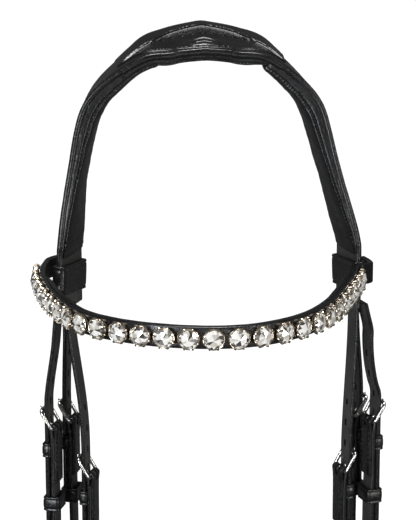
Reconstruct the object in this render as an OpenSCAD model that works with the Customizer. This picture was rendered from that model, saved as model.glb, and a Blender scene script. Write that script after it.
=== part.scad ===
// Snaffle bridle: padded headpiece, browband with a row of crystals, buckled cheekpieces,
// throatlash and a plain padded noseband. The poll seat is the origin, +Z is up, the
// browband faces -Y, and left and right are as seen from the front of the bridle.

/* [Headpiece] */
// Width of the headpiece over the poll
crown_w = 50; // [46:1:54]
// Width of the headpiece at the browband loops
crown_end_w = 33; // [28:1:34]
// Thickness of the headpiece leather
crown_t = 3.6; // [3:0.1:4]
// Thickness of the padding under the headpiece
crown_pad_t = 6; // [5:0.5:6]
// Thickness of the shaped cover over the poll
cover_t = 3.2; // [2:0.2:4]
// How far the headpiece sides lean sideways halfway down
crown_lean = -1.5; // [-4:0.5:0]
// How far both lower ends of the headpiece lie to the right
crown_shift = 2.1; // [0:0.1:3]
// Turn of the left end of the headpiece compared with the right end
left_turn = 1.5; // [1:0.1:1.6]

/* [Browband] */
// Height of the browband
brow_h = 13; // [12:0.5:16]
// Spacing of the crystals along the browband
crystal_pitch = 13.5; // [12.9:0.1:15]
// Diameter of a crystal
crystal_d = 11.4; // [9:0.1:12]

/* [Straps] */
// Width of the cheek, throat and noseband straps
strap_w = 13; // [12.5:0.5:14]
// Thickness of a billet
billet_t = 2.6; // [2.2:0.1:2.8]
// Turn of the straps towards the nose, in degrees
strap_angle = 18; // [12:1:20]
// Spacing of the punched holes
hole_pitch = 13.5; // [13:0.5:16]

/* [Buckles] */
// Distance between the two bars of a buckle
buckle_l = 14; // [13:0.5:15]
// Radius of the buckle wire
bar_r = 1.15; // [1:0.05:1.2]
// Radius of a tongue
tongue_r = 0.9; // [0.8:0.05:1]

/* [Noseband] */
// Height of the nosepiece
nose_h = 24; // [20:1:28]
// Half width of the nosepiece
nose_half = 72.5; // [71:0.5:72.5]
// Distance from the sides of the noseband to its front
nose_reach = 115; // [105:1:125]

/* [Cheekpieces] */
// Radius of the loop that holds a bit ring
bit_loop_r = 4.5; // [4:0.1:5]
// Distance from the cheek buckle to the bit loop
cheek_l = 237; // [225:1:250]

/* [Hidden] */
$fn = 48;

LEFT = -1;
RIGHT = 1;
leather = "#15151a";
padding = "#1e1e24";
nickel = "silver";
gap = 0.2;
bore_clearance = 0.05;

// Heel bar of each buckle: half width between the two sides, sideways shift, y, z,
// then how far out the strap above hangs on the left and on the right.
CHEEK = [97.2, 3.7, -42, -225.5, -1.3, -1.6];
THROAT = [87.3, 5, -22, -227.5, 3.2, 1];
NOSE = [77.3, 6.1, -42, -257.5, 12.3, 7.6];
flex_z = -155;
cheek_tail = 78;
throat_tail = 51;
nose_tail = 60;
throat_end_l = 80;
nose_z = -400;

fold_t = 1.6;
fold_r = bar_r + bore_clearance + fold_t;
billet_n = fold_r + gap + 0.1 + billet_t / 2;
lower_half_t = 2.2;
front_n = billet_n + billet_t / 2 + 0.3 + bar_r;
buckle_tilt = asin(front_n / buckle_l);
side_bar_u = strap_w / 2 + 0.7 + bar_r;

// The right half of the headpiece: x, y, z, width, turn in plan and tilt of the width.
crown_side = [
    [0, 0, 6, crown_w, 0, 6],
    [20, -2, 4.2, 0.92 * crown_w, 0, 6],
    [38, -6, 0.4, 0.8 * crown_w, 2, 5],
    [55.5, -8, -16, 0.78 * crown_w, 3, 2],
    [66, -11, -31, 0.76 * crown_w, 4, -2],
    [72.3, -16, -48, 0.74 * crown_w, 5, -7],
    [76.4, -22, -65.5, 0.74 * crown_w, 6, -9],
    [79.6, -27, -83.5, 0.74 * crown_w, 9, -8],
    [82.4, -32, -101, 0.72 * crown_w, 13, -4],
    [83.8, -34.2, -110, 0.68 * crown_w, 15, -1],
    [84.1, -34.5, -114.5, crown_end_w, 16, 0],
    [84.1, -34.5, -130, crown_end_w, 16, 0],
    [84.1, -34.5, -146.5, crown_end_w, 16, 0],
];
row_steps = 4;
poll_pad_reach = 7;
cover_reach = 10;
side_pad_rows = [8, 36];

function unit(v) = v / norm(v);
function reverse(list) = [for (i = [len(list) - 1:-1:0]) list[i]];

// Points on a smooth curve through the rows, with the given number of steps a row.
function spline_at(a, b, c, d, t) =
    0.5 * (2 * b + (c - a) * t + (2 * a - 5 * b + 4 * c - d) * t * t
    + (3 * b - a - 3 * c + d) * t * t * t);
function smooth(rows, steps) = [
    for (i = [0:len(rows) - 2], k = [0:steps - 1])
        spline_at(rows[max(i - 1, 0)], rows[i], rows[i + 1],
            rows[min(i + 2, len(rows) - 1)], k / steps),
    rows[len(rows) - 1],
];

function mirrored(row) = [-row[0], row[1], row[2], row[3], -left_turn * row[4], row[5]];
function both_sides(rows) = [
    for (i = [len(rows) - 1:-1:1]) mirrored(rows[i]),
    for (row = rows) row,
];
function lean(z) = z > 0 ? 0 : crown_lean * sin(180 * min(1, -z / 85));
function ease(t) = t < 0 ? 0 : t > 1 ? 1 : t * t * (3 - 2 * t);
function centre(row) =
    [row[0] + lean(row[2]) + crown_shift * ease((-row[2] - 78) / 36), row[1], row[2]];
function width_way(row) = [
    -sin(row[4]) * cos(row[5]),
    cos(row[4]) * cos(row[5]),
    sin(row[5]),
];

// A strap that follows part of a line of rows, between two offsets from the line.
module ribbon(rows, first, last, inner, outer, scale_w = 1) {
    end = len(rows) - 1;
    count = last - first;
    mids = [for (row = rows) centre(row)];
    points = [
        for (i = [first:last])
            let (
                along = unit(mids[min(i + 1, end)] - mids[max(i - 1, 0)]),
                across = unit(width_way(rows[i]) - along * (width_way(rows[i]) * along)),
                out = cross(along, across),
                half = across * rows[i][3] * scale_w / 2
            )
            each [
                mids[i] - half + out * inner,
                mids[i] + half + out * inner,
                mids[i] + half + out * outer,
                mids[i] - half + out * outer,
            ],
    ];
    sides = [
        for (i = [0:count - 1], k = [0:3])
            let (a = 4 * i + k, b = 4 * i + (k + 1) % 4)
            each k == 0 ? [[a, a + 4, b], [b, a + 4, b + 4]] : [[a, a + 4, b + 4], [a, b + 4, b]],
    ];
    far = 4 * count * [1, 1, 1];
    ends = [[0, 1, 2], [0, 2, 3], far + [2, 1, 0], far + [3, 2, 0]];
    polyhedron(points, concat(sides, ends));
}

// ---- Headpiece ----

crown_rows = both_sides(smooth(crown_side, row_steps));
crown_last = len(crown_rows) - 1;
poll_row = crown_last / 2;

module crown_strap() {
    color(leather) ribbon(crown_rows, 0, crown_last, gap / 2, crown_t);
}

module crown_padding() {
    color(padding)
        ribbon(crown_rows, poll_row - poll_pad_reach, poll_row + poll_pad_reach,
            -crown_pad_t, -gap / 2);
}

module poll_cover() {
    color(leather)
        ribbon(crown_rows, poll_row - cover_reach, poll_row + cover_reach,
            crown_t + gap, crown_t + cover_t, 0.9);
}

module side_pad(side) {
    ends = poll_row * [1, 1] + side * side_pad_rows;
    color(padding)
        ribbon(crown_rows, min(ends), max(ends), -crown_pad_t, -gap / 2, 0.96);
}

// ---- Browband ----

brow_z = -128;
brow_t = 3;
lining_t = 3.6;
setting_t = 2;
loop_wall = 2;
loop_h = 19;
loop_z = -132;
loop_turn = 16;
loop_inner = [crown_end_w + 2, crown_t + 2];
loop_half = 84.1;
function loop_angle(side) = side == RIGHT ? loop_turn : -left_turn * loop_turn;

brow_path = smooth([
    [-98.3, -34], [-100.6, -50], [-99.7, -68], [-97, -88], [-93, -106.5], [-86.5, -127],
    [-79, -143], [-69, -155], [-55, -165.5], [-41, -173], [-25, -178.5], [-8, -181.2],
    [9, -180.6], [25, -175.5], [39.5, -166.5], [52, -154.5], [61, -141], [68.5, -125.8],
    [74.5, -109], [80, -93], [85.5, -76], [90, -58],
], 2);
lining_path = [for (i = [4:len(brow_path) - 1]) brow_path[i]];
function heading(path, i) =
    unit(path[min(i + 1, len(path) - 1)] - path[max(i - 1, 0)]);
function outward(path, i) = [heading(path, i)[1], -heading(path, i)[0]];
function band(path, inner, outer) = concat(
    [for (i = [0:len(path) - 1]) path[i] + outward(path, i) * outer],
    reverse([for (i = [0:len(path) - 1]) path[i] + outward(path, i) * inner])
);
function run(path, i) = i == 0 ? 0 : run(path, i - 1) + norm(path[i] - path[i - 1]);
brow_runs = [for (i = [0:len(brow_path) - 1]) run(brow_path, i)];
brow_length = brow_runs[len(brow_runs) - 1];
crystal_count = floor((brow_length - crystal_d) / crystal_pitch) + 1;
crystal_start = (brow_length - (crystal_count - 1) * crystal_pitch) / 2;

module brow_bar(path, inner, outer, height) {
    translate([0, 0, brow_z])
        linear_extrude(height = height, center = true)
            polygon(band(path, inner, outer));
}

module along_browband() {
    for (k = [0:crystal_count - 1]) {
        s = crystal_start + k * crystal_pitch;
        i = max([for (j = [0:len(brow_runs) - 2]) if (brow_runs[j] <= s) j]);
        part = (s - brow_runs[i]) / (brow_runs[i + 1] - brow_runs[i]);
        way = unit(brow_path[i + 1] - brow_path[i]);
        spot = brow_path[i] + part * (brow_path[i + 1] - brow_path[i]);
        translate([spot[0], spot[1], brow_z])
            rotate([0, 90, atan2(-way[0], way[1])])
                children();
    }
}

module browband_strap() {
    color(leather) brow_bar(brow_path, -brow_t / 2, brow_t / 2, brow_h);
}

module browband_lining() {
    color(padding)
        brow_bar(lining_path, -brow_t / 2 - gap - lining_t, -brow_t / 2 - gap, brow_h - 1);
}

module crystal_settings() {
    color("#cdbb9c")
        along_browband()
            translate([0, 0, brow_t / 2 + 2 * gap])
                cylinder(d = crystal_d + 1, h = setting_t);
}

module crystals() {
    color("#f2f2f2")
        along_browband()
            translate([0, 0, brow_t / 2 + 3 * gap + setting_t])
                cylinder(d1 = crystal_d, d2 = crystal_d / 2, h = setting_t);
}

module browband_loop(side) {
    angle = loop_angle(side);
    color(leather)
        translate([side * loop_half + crown_shift, crown_side[len(crown_side) - 1][1], loop_z])
            rotate([0, 0, angle])
                translate([side * (crown_t + gap / 2) / 2, 0, 0])
                    linear_extrude(height = loop_h, center = true)
                        difference() {
                            square([loop_inner[1], loop_inner[0]] + 2 * loop_wall * [1, 1], center = true);
                            square([loop_inner[1], loop_inner[0]], center = true);
                        }
}

// ---- Buckled straps ----
// Every buckle is drawn about its heel bar: x points away from the head, y runs along
// the bar, and z points up the strap.

module at_heel(kind, side) {
    translate([side * kind[0] + kind[1], kind[2], kind[3]])
        mirror([side == LEFT ? 1 : 0, 0, 0])
            rotate([0, 0, strap_angle])
                children();
}

module along_bar(width) {
    rotate([90, 0, 0])
        linear_extrude(height = width, center = true)
            children();
}

module through_strap(depth) {
    rotate([90, 0, 90])
        linear_extrude(height = depth, center = true)
            children();
}

// Oval hole in a strap, by its lower and upper centres.
module oval(low, high) {
    hole_r = 1.3;
    translate([0, low]) circle(r = hole_r);
    translate([0, high]) circle(r = hole_r);
    translate([-hole_r, low]) square([2 * hole_r, high - low]);
}

module billet_face(top, tail, swings_flat) {
    round_r = swings_flat ? 0 : strap_w / 2;
    difference() {
        union() {
            translate([-strap_w / 2, -tail + strap_w / 2])
                square([strap_w, top + tail - strap_w / 2 + (swings_flat ? billet_t : 0)]);
            translate([0, -tail + strap_w / 2]) circle(d = strap_w);
            if (round_r > 0) translate([0, top]) circle(r = round_r);
        }
        oval(-1.2, 6);
        for (k = [1:3]) oval(3.4 + k * hole_pitch - 1, 3.4 + k * hole_pitch + 1);
        for (k = [1:2]) oval(-k * hole_pitch - 3, -k * hole_pitch - 1);
    }
}

// Billet: the strap from above that runs through the buckle, with its punched holes.
module billet(kind, side, tail, swings_flat = false) {
    top = flex_z - kind[3];
    top_n = side == LEFT ? kind[4] : kind[5];
    line = concat(
        smooth([
            [billet_n, 1], [billet_n, 8], [billet_n, 20],
            [0.75 * billet_n + 0.25 * top_n, 0.55 * top + 5],
            [0.4 * billet_n + 0.6 * top_n, top - 20],
            [0.08 * billet_n + 0.92 * top_n, top - 8],
        ], 3),
        swings_flat ? [[top_n, top]] : [[top_n, top], [top_n, top + strap_w]]
    );
    path = concat([[billet_n, -tail - 1]], line);
    color(leather)
        at_heel(kind, side)
            intersection() {
                along_bar(strap_w + 2)
                    union() {
                        polygon(band(path, -billet_t / 2, billet_t / 2));
                        if (swings_flat) translate([top_n, top]) circle(d = billet_t - gap);
                    }
                through_strap(60) billet_face(top, tail, swings_flat);
            }
}

// Upper end of a lower strap, folded round the heel bar, with a slot for the tongue.
module folded_end(doubled) {
    slot_w = 2 * tongue_r + 2;
    difference() {
        along_bar(strap_w)
            difference() {
                union() {
                    circle(r = fold_r);
                    translate([-lower_half_t, -doubled]) square([2 * lower_half_t, doubled]);
                }
                circle(r = bar_r + bore_clearance);
            }
        translate([-5, -slot_w / 2, -fold_r - 0.6]) cube([10, slot_w, 2 * fold_r + 2]);
    }
}

module lower_strap(length) {
    doubled = 36;
    folded_end(doubled);
    along_bar(strap_w)
        translate([-0.8, -length]) square([0.8 + lower_half_t, length - doubled + 1]);
}

module keeper_ring(low, high, inner, outer, inner_wall = 1.2) {
    wall = 1.2;
    inner_u = strap_w / 2 + gap;
    translate([0, 0, low])
        linear_extrude(height = high - low)
            difference() {
                translate([inner - gap - inner_wall, -inner_u - wall])
                    square([outer - inner + 2 * gap + inner_wall + wall, 2 * (inner_u + wall)]);
                translate([inner - gap, -inner_u]) square([outer - inner + 2 * gap, 2 * inner_u]);
            }
}

// The fixed keeper holds only the tail of the billet, against the strap behind it.
module tail_keeper() {
    keeper_ring(-18, -9, billet_n - billet_t / 2, billet_n + billet_t / 2, 0.5);
}

// The runner slides over both straps.
module tail_runner(low = -53, high = -44) {
    keeper_ring(low, high, -lower_half_t, billet_n + billet_t / 2);
}

// Side bars are flat-sided with round ends, and carry the heel bar and the front bar.
module buckle_frame() {
    end_r = bar_r + 0.25;
    rotate([0, buckle_tilt, 0]) {
        for (z = [0, buckle_l])
            translate([0, 0, z])
                rotate([90, 0, 0])
                    cylinder(r = bar_r, h = 2 * side_bar_u, center = true);
        for (s = [-1, 1])
            translate([0, s * side_bar_u, 0])
                along_bar(2 * bar_r)
                    union() {
                        circle(r = end_r);
                        translate([0, buckle_l]) circle(r = end_r);
                        translate([-end_r, 0]) square([2 * end_r, buckle_l]);
                    }
    }
}

module buckle_tongue() {
    ring_r = bar_r + bore_clearance + 1;
    lift = bar_r + tongue_r + 0.1;
    rotate([0, buckle_tilt, 0])
        difference() {
            union() {
                rotate([90, 0, 0]) cylinder(r = ring_r, h = 2 * tongue_r, center = true);
                translate([lift, 0, 0]) cylinder(r = tongue_r, h = buckle_l + 2.2);
            }
            rotate([90, 0, 0])
                cylinder(r = bar_r + bore_clearance, h = 4 * tongue_r, center = true);
        }
}

// ---- Cheekpieces ----

bit_n = -1.2;
bit_fold_t = 2.4;
bit_doubled = 64;

module cheekpiece(side) {
    back = 0.8 + 2.6;
    color(leather)
        at_heel(CHEEK, side)
            union() {
                lower_strap(cheek_l - bit_doubled + 1);
                along_bar(strap_w)
                    difference() {
                        union() {
                            translate([-back, -cheek_l])
                                square([back + lower_half_t, bit_doubled]);
                            translate([bit_n, -cheek_l]) circle(r = bit_loop_r + bit_fold_t);
                        }
                        translate([bit_n, -cheek_l]) circle(r = bit_loop_r);
                    }
            }
}

module bit_keepers(side) {
    color(leather)
        at_heel(CHEEK, side)
            for (low = [-cheek_l + 14, -cheek_l + 46])
                keeper_ring(low, low + 8, -3.4, lower_half_t);
}

module hook_stud(side) {
    color(nickel)
        at_heel(CHEEK, side)
            translate([-3.4 - gap, 0, -cheek_l + 32])
                rotate([0, -90, 0]) {
                    cylinder(r = 1.6, h = 3);
                    translate([0, 0, 2]) cylinder(r = 3.6, h = 1.6);
                }
}

// ---- Throatlash ----

throat_drop = 62;
throat_joint_gap = 1;
throat_line = [
    for (a = [0:9:180])
        [
            THROAT[1] + (THROAT[0] + 0.7) * cos(a), THROAT[2] + 12 * pow(sin(a), 3),
            THROAT[3] - throat_end_l - throat_joint_gap - throat_drop * sin(a),
            strap_w, strap_angle * cos(a), 0
        ],
];

module throatlash_strap() {
    color(leather) ribbon(throat_line, 0, len(throat_line) - 1, -1.2, 1.2);
}

// ---- Noseband ----

nose_mid = [NOSE[1], -15];
function nose_bow(angle) = nose_mid + [
    nose_half * sign(sin(angle)) * pow(abs(sin(angle)), 0.8),
    -nose_reach * pow(abs(cos(angle)), 0.8),
];
nose_path = [for (a = [-90:7.5:90]) nose_bow(a)];
nose_t = 3;
nose_pad_t = 5;

module nose_bar(inner, outer, height) {
    translate([0, 0, nose_z])
        linear_extrude(height = height, center = true)
            polygon(band(nose_path, inner, outer));
}

// The chin buckle lies on the left, with its strap towards the rear.
module at_chin() {
    translate([nose_mid[0] - nose_half, 26, nose_z])
        rotate([90, 0, 180])
            children();
}

module chin_tab() {
    color(leather) at_chin() folded_end(26 - nose_mid[1] - gap);
}

module chin_strap() {
    span = 2 * nose_half;
    line = smooth([
        [billet_n, 1], [billet_n, 8], [billet_n, 22], [-1, 37], [-15, 49], [-40, 57],
        [-span / 2, 60], [40 - span, 57], [15 - span, 49], [1 - span, 37],
        [-span, 22], [-span, 0],
    ], 2);
    path = concat([[billet_n, -45]], line, [[-span, nose_mid[1] - 26 + gap]]);
    color(leather)
        at_chin()
            difference() {
                along_bar(strap_w) polygon(band(path, -billet_t / 2, billet_t / 2));
                translate([4, 0, 0])
                    through_strap(6) {
                        oval(-1.2, 6);
                        oval(-hole_pitch - 3, -hole_pitch - 1);
                    }
            }
}

// ---- Assembly ----

module strap_part(kind, side, length) color(leather) at_heel(kind, side) lower_strap(length);
module keeper_part(kind, side) color(leather) at_heel(kind, side) tail_keeper();
module runner_part(kind, side) color(leather) at_heel(kind, side) tail_runner();
module frame_part(kind, side) color(nickel) at_heel(kind, side) buckle_frame();
module tongue_part(kind, side) color(nickel) at_heel(kind, side) buckle_tongue();

crown_strap();
crown_padding();
poll_cover();
side_pad(LEFT);  // side_pad_left
side_pad(RIGHT);  // side_pad_right
browband_strap();
browband_lining();
crystal_settings();
crystals();
browband_loop(LEFT);  // browband_loop_left
browband_loop(RIGHT);  // browband_loop_right
billet(CHEEK, LEFT, cheek_tail, true);  // cheek_billet_left
billet(CHEEK, RIGHT, cheek_tail, true);  // cheek_billet_right
cheekpiece(LEFT);  // cheekpiece_left
cheekpiece(RIGHT);  // cheekpiece_right
keeper_part(CHEEK, LEFT);  // cheek_keeper_left
keeper_part(CHEEK, RIGHT);  // cheek_keeper_right
runner_part(CHEEK, LEFT);  // cheek_runner_left
runner_part(CHEEK, RIGHT);  // cheek_runner_right
frame_part(CHEEK, LEFT);  // cheek_frame_left
frame_part(CHEEK, RIGHT);  // cheek_frame_right
tongue_part(CHEEK, LEFT);  // cheek_tongue_left
tongue_part(CHEEK, RIGHT);  // cheek_tongue_right
bit_keepers(LEFT);  // bit_keepers_left
bit_keepers(RIGHT);  // bit_keepers_right
hook_stud(LEFT);  // hook_stud_left
hook_stud(RIGHT);  // hook_stud_right
billet(THROAT, LEFT, throat_tail);  // throat_billet_left
billet(THROAT, RIGHT, throat_tail);  // throat_billet_right
strap_part(THROAT, LEFT, throat_end_l);  // throat_end_left
strap_part(THROAT, RIGHT, throat_end_l);  // throat_end_right
keeper_part(THROAT, LEFT);  // throat_keeper_left
keeper_part(THROAT, RIGHT);  // throat_keeper_right
runner_part(THROAT, LEFT);  // throat_runner_left
runner_part(THROAT, RIGHT);  // throat_runner_right
frame_part(THROAT, LEFT);  // throat_frame_left
frame_part(THROAT, RIGHT);  // throat_frame_right
tongue_part(THROAT, LEFT);  // throat_tongue_left
tongue_part(THROAT, RIGHT);  // throat_tongue_right
throatlash_strap();
billet(NOSE, LEFT, nose_tail);  // nose_billet_left
billet(NOSE, RIGHT, nose_tail);  // nose_billet_right
strap_part(NOSE, LEFT, NOSE[3] - nose_z + nose_h / 2);  // nose_hanger_left
strap_part(NOSE, RIGHT, NOSE[3] - nose_z + nose_h / 2);  // nose_hanger_right
keeper_part(NOSE, LEFT);  // nose_keeper_left
keeper_part(NOSE, RIGHT);  // nose_keeper_right
runner_part(NOSE, LEFT);  // nose_runner_left
runner_part(NOSE, RIGHT);  // nose_runner_right
frame_part(NOSE, LEFT);  // nose_frame_left
frame_part(NOSE, RIGHT);  // nose_frame_right
tongue_part(NOSE, LEFT);  // nose_tongue_left
tongue_part(NOSE, RIGHT);  // nose_tongue_right
color(leather) nose_bar(-nose_t / 2, nose_t / 2, nose_h);  // nosepiece
color(padding) nose_bar(-nose_t / 2 - gap - nose_pad_t, -nose_t / 2 - gap, nose_h + 4);  // nose_padding
chin_tab();
chin_strap();
color(leather) at_chin() tail_keeper();  // chin_keeper
color(leather) at_chin() tail_runner(-34, -26);  // chin_runner
color(nickel) at_chin() buckle_frame();  // chin_frame
color(nickel) at_chin() buckle_tongue();  // chin_tongue
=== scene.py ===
"""Snaffle bridle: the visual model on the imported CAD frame. Lengths in the code are in
millimetres in the CAD frame, and become metres where a mesh is made."""
import math
import random

import bmesh
import bpy
import numpy as np
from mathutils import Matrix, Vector, noise


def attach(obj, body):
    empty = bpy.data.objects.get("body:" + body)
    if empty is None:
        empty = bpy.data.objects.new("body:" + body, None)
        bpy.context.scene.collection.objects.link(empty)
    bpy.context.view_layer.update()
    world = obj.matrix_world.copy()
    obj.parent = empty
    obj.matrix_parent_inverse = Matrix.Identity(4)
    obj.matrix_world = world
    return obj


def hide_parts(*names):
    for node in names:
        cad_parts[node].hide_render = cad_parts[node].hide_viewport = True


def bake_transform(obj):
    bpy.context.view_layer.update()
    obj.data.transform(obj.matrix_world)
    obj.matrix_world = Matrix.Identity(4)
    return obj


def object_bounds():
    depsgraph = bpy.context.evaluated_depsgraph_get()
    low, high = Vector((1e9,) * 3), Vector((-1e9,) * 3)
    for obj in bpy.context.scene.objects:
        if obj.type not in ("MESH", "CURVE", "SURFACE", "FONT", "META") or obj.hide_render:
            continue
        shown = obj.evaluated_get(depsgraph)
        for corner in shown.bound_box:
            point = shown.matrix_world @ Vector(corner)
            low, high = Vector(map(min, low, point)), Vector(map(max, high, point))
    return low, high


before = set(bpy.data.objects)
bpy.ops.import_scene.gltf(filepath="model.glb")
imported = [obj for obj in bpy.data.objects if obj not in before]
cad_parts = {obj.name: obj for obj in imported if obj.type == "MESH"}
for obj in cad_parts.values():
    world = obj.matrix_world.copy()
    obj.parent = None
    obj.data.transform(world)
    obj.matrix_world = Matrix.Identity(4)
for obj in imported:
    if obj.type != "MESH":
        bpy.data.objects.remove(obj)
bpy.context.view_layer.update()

MM = 0.001
LEFT, RIGHT = -1, 1
SIDES = ((LEFT, "left"), (RIGHT, "right"))

# ---- Sizes, as in the CAD source ----

CROWN_T, CROWN_PAD_T = 3.6, 6.0
CROWN_LEAN, CROWN_SHIFT, LEFT_TURN = -1.5, 2.1, 1.5
CROWN = [  # x, y, z, width, turn in plan, tilt of the width
    (0, 0, 6, 50, 0, 6), (20, -2, 4.2, 46, 0, 6), (38, -6, 0.4, 40, 2, 5),
    (55.5, -8, -16, 39, 3, 2), (66, -11, -31, 38, 4, -2), (72.3, -16, -48, 37, 5, -7),
    (76.4, -22, -65.5, 37, 6, -9), (79.6, -27, -83.5, 37, 9, -8),
    (82.4, -32, -101, 36, 13, -4), (83.8, -34.2, -110, 34, 15, -1),
    (84.1, -34.5, -114.5, 33, 16, 0), (84.1, -34.5, -130, 33, 16, 0),
    (84.1, -34.5, -146.5, 33, 16, 0), (84.1, -34.5, -150.5, 33, 16, 0),
]
PAD_DROP = [5, 16, 30, 40, 57, 72, 95, 110, 117.3]  # below the poll, with the side pads' fullness
PAD_FULL = [7.8, 9.2, 9.6, 8.8, 7.0, 5.2, 3.8, 2.4, 0.8]
BROW_Z, BROW_T, BROW_H, LINING_T = -128.0, 3.0, 13.0, 3.6
PITCH, CRYSTAL_D = 13.5, 11.4
LOOP_Z, LOOP_H, LOOP_TURN, LOOP_HALF = -132.0, 19.0, 16.0, 84.1
LOOP_WALL, LOOP_RING_N, LOOP_RING_U, LOOP_PLAY = 2.0, 3.2, 17.9, 0.3
BROW = [  # x, y of the stones' line, left to right
    (-98.3, -34), (-100.6, -50), (-99.7, -68), (-97, -88), (-93, -106.5), (-86.5, -127),
    (-79, -143), (-69, -155), (-55, -165.5), (-41, -173), (-25, -178.5), (-8, -181.2),
    (9, -180.6), (25, -175.5), (39.5, -166.5), (52, -154.5), (61, -141), (68.5, -125.8),
    (74.5, -109), (80, -93), (85.5, -76), (90, -58),
]
STRAP_W, BILLET_T, STRAP_ANGLE, HOLE_PITCH = 13.0, 2.6, 18.0, 13.5
# Heel bars: half their spacing, sideways shift, y, z, and how far out the billet is at its flex
# point on the left and on the right.
CHEEK = (97.2, 3.7, -42, -225.5, -1.3, -1.6)
THROAT = (87.3, 5, -22, -227.5, 3.2, 1)
NOSE = (77.3, 6.1, -42, -257.5, 12.3, 7.6)
FLEX_Z, NOSE_Z, NOSE_H, NOSE_HALF, NOSE_REACH = -155.0, -400.0, 24.0, 72.5, 115.0
NOSE_MID = (NOSE[1], -15.0)
TAILS = {"cheek": 78.0, "throat": 51.0, "nose": 60.0}
KINDS = {"cheek": CHEEK, "throat": THROAT, "nose": NOSE}
BUCKLE_L, BAR_R, TONGUE_R = 14.0, 1.15, 0.9
BILLET_N, LOWER_HALF_T, FOLD_MEAN_R = 4.4, 2.2, 2.0
FRONT_N = BILLET_N + BILLET_T / 2 + 0.3 + BAR_R
BUCKLE_TILT = math.asin(FRONT_N / BUCKLE_L)
SIDE_U = STRAP_W / 2 + 0.7 + BAR_R
RING_WALL, RING_HALF_U, STITCH_U = 1.15, STRAP_W / 2 + 0.8, 4.6
TIP_ANGLES = range(10, 83, 12)
CHEEK_L, BIT_N, BIT_R = 237.0, -1.2, 5.7


def vec(*a):
    return np.array(a, float)


UP = vec(0, 0, 1)


def unit(v):
    return v / np.linalg.norm(v)


def spline(rows, steps):
    """Points on a Catmull-Rom curve through the rows."""
    rows = [np.array(r, float) for r in rows]
    last = len(rows) - 1
    out = []
    for i in range(last):
        a, b, c, d = rows[max(i - 1, 0)], rows[i], rows[i + 1], rows[min(i + 2, last)]
        for k in range(steps):
            t = k / steps
            out.append(0.5 * (2 * b + (c - a) * t + (2 * a - 5 * b + 4 * c - d) * t * t
                              + (3 * b - a - 3 * c + d) * t ** 3))
    out.append(rows[-1])
    return out


def ease(t):
    t = min(1.0, max(0.0, t))
    return t * t * (3 - 2 * t)


def bell(x, width):
    return math.exp(-(x / width) ** 2)


def runs(points):
    total = [0.0]
    for a, b in zip(points, points[1:]):
        total.append(total[-1] + float(np.linalg.norm(b - a)))
    return total


# ---- Materials ----

class Shading:
    """A new material; its textures use object coordinates."""
    def __init__(self, name):
        self.material = bpy.data.materials.new(name)
        self.material.use_nodes = True
        self.nodes, self.links = self.material.node_tree.nodes, self.material.node_tree.links
        self.coords = self.nodes.new("ShaderNodeTexCoord").outputs["Object"]

    def put(self, node, values):
        """Gives a node's inputs their values, or links them where a value is a socket."""
        for key, value in values.items():
            if isinstance(value, bpy.types.NodeSocket):
                self.links.new(value, node.inputs[key])
            else:
                node.inputs[key].default_value = value

    def node(self, kind, result, values):
        made = self.nodes.new("ShaderNode" + kind)
        self.put(made, values)
        return made.outputs[result]

    def noise(self, scale, detail, rough=0.5, coords=None):
        return self.node("TexNoise", "Fac", {"Vector": coords or self.coords, "Scale": scale,
                                             "Detail": detail, "Roughness": rough})

    def ramp(self, source, low, high, first=0.3, last=0.7):
        return self.node("MapRange", "Result", {"Value": source, "From Min": first, "From Max": last,
                                                "To Min": low, "To Max": high})

    def bump(self, height, strength, distance, below=None):
        values = {"Height": height, "Strength": strength, "Distance": distance}
        return self.node("Bump", "Normal", {**values, "Normal": below} if below else values)

    def mix(self, factor, a, b):
        made = self.nodes.new("ShaderNodeMix")
        made.data_type = "RGBA"
        self.put(made, {"Factor": factor, "A": a, "B": b})
        return made.outputs["Result"]

    def finish(self, values):
        self.put(self.nodes["Principled BSDF"], values)
        return self.material


def shade(colour, *factors):
    """A colour for a node, with its channels scaled."""
    return (*(c * f for c, f in zip(colour, factors or (1, 1, 1))), 1)


def leather(name, dark, light, rough, grain, wrinkle, coat, cells=1100, edge_wear_and_sheen=0.5):
    """Dyed leather: grain cells, fine pores, soft wrinkles, uneven gloss, and edges lightened toward
    bluish grey as rubbed wear and a painted highlight.
    """
    m = Shading(name)
    cell = m.node("TexVoronoi", "Distance", {"Vector": m.coords, "Scale": cells})
    pores, folds, cloud = m.noise(cells * 2.6, 3), m.noise(130, 4, 0.6), m.noise(38, 3)
    normal = m.bump(folds, wrinkle, 0.0012)
    normal = m.bump(cell, grain, 0.00025, normal)
    normal = m.bump(pores, grain * 0.6, 0.00012, normal)
    tone = m.mix(m.ramp(cloud, 0, 1), shade(dark), shade(light))
    # painted highlight: convex edges are mixed toward a bluish grey that stands in for the sheen of
    # light along strap edges, together with rubbed wear
    edge = m.ramp(m.node("NewGeometry", "Pointiness", {}), 0, edge_wear_and_sheen, 0.52, 0.6)
    return m.finish({"Base Color": m.mix(edge, tone, shade(light, 2.2, 2.1, 2.05)), "Normal": normal,
                     "Roughness": m.ramp(folds, rough - 0.07, rough + 0.09),
                     "Coat Weight": coat, "Coat Roughness": 0.22, "Specular IOR Level": 0.4})


def metal(name, colour, tint, rough, scratch):
    """Polished metal with fine drawn lines and cloudy tarnish."""
    m = Shading(name)
    stretched = m.node("Mapping", "Vector", {"Vector": m.coords, "Scale": (1, 1, 9)})
    lines = m.noise(700, 5, coords=stretched)
    return m.finish({"Base Color": m.mix(m.noise(160, 3), shade(colour), shade(tint)),
                     "Normal": m.bump(lines, scratch, 0.00008), "Metallic": 1.0,
                     "Roughness": m.ramp(lines, rough * 0.7, rough * 1.5)})


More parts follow.
